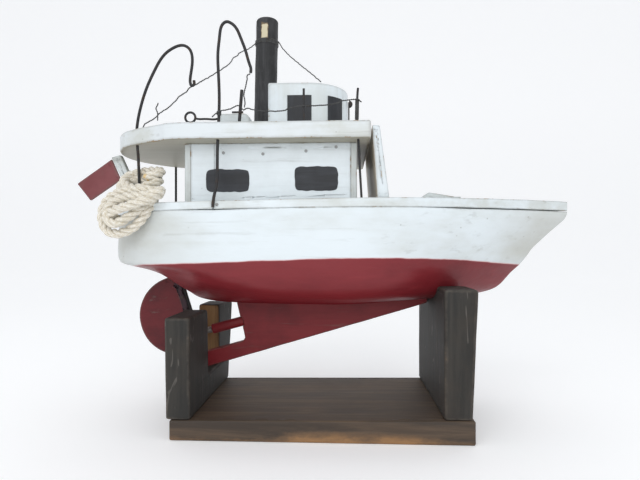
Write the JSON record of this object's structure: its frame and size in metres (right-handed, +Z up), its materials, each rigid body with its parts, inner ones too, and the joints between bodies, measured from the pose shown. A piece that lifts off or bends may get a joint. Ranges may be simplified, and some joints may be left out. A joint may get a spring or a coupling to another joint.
{
  "type": "toy boat",
  "caption": "Home-made wooden toy steamer with cabin, wheelhouse, chimney, wire davits, keel, rudder and propeller, resting in a two-ended cradle stand, with a rope hank at the stern.",
  "frame": {"origin": "middle of the stand base's underside, on the surface it stands on", "axes": "+X towards the bow, +Y to the boat's port side, +Z up"},
  "size_m": [0.6086, 0.2407, 0.5058],
  "materials": {
    "stand_stain": "dark stained, worn to brown along edges",
    "nail_steel": "dull, slightly rusty",
    "white_paint": "brushed white paint over wood, grimy",
    "red_paint": "brushed dark red paint, semi-gloss",
    "worn_rudder_wood": "worn dark red-brown wood",
    "dark_rod": "blackened",
    "wire": "dull grey binding wire",
    "tin": "dull tinplate",
    "window_black": "thick brushed black paint",
    "chimney_black": "black paint over dowel",
    "rope_cotton": "three-strand cotton"
  },
  "bodies": {
    "stand": {"stand_base": "stand_stain", "aft_cradle_board": "stand_stain", "fore_cradle_board": "stand_stain", "stand_nails": "nail_steel"},
    "boat": {"aft_deck_board": "white_paint", "aft_stay_wire": "wire", "boat_nails": "nail_steel", "cabin_aft_wall": "white_paint", "cabin_fore_wall": "white_paint", "cabin_port_long_plank": "white_paint", "cabin_port_short_plank": "white_paint", "cabin_port_windows": "window_black", "cabin_starboard_long_plank": "white_paint", "cabin_starboard_short_plank": "white_paint", "cabin_starboard_windows": "window_black", "chimney": "chimney_black", "chimney_wire_band": "wire", "davit_aft": "dark_rod", "davit_fall_wire": "wire", "davit_middle": "dark_rod", "flag": "red_paint", "flag_staff": "white_paint", "fore_deck_board": "white_paint", "fore_stay_wire": "wire", "foredeck_hatch": "white_paint", "hull_bottom_lift": "red_paint", "hull_upper_lift": "white_paint", "keel_fin": "red_paint", "lifeline_wire": "wire", "port_aft_post": "dark_rod", "post_wire_bindings": "wire", "propeller_nail": "nail_steel", "rail_post_aft": "dark_rod", "rail_post_cross_bar": "dark_rod", "rail_post_fore": "dark_rod", "rail_post_mid": "dark_rod", "ring_eye": "dark_rod", "roof": "white_paint", "roof_hatch": "white_paint", "rope_hank": "rope_cotton", "stay_wire_tail": "wire", "stern_tube_dowel": "red_paint", "wheelhouse": "white_paint", "wheelhouse_lamp": "dark_rod", "wheelhouse_windows": "window_black", "windshield_board": "white_paint"},
    "rudder": {"rudder_blade": "red_paint", "rudder_edge_strip": "worn_rudder_wood", "rudder_stock": "dark_rod", "rudder_nails": "nail_steel"},
    "propeller": {"propeller": "tin"}
  },
  "joints": [
    {"name": "boat_lift", "type": "slide", "parent": "stand", "child": "boat", "axis": [0, 0, 1], "range_m": [0, 0.12]},
    {"name": "rudder_swing", "type": "hinge", "parent": "boat", "child": "rudder", "pos_m": [-0.15397, 0.0135, 0.07], "axis": [-0.3006, 0, 0.9537], "range_deg": [-30, 30]},
    {"name": "propeller_spin", "type": "hinge", "parent": "boat", "child": "propeller", "pos_m": [-0.143, 0.0135, 0.1045], "axis": [-0.9654, 0, -0.2607], "continuous": true}
  ]
}
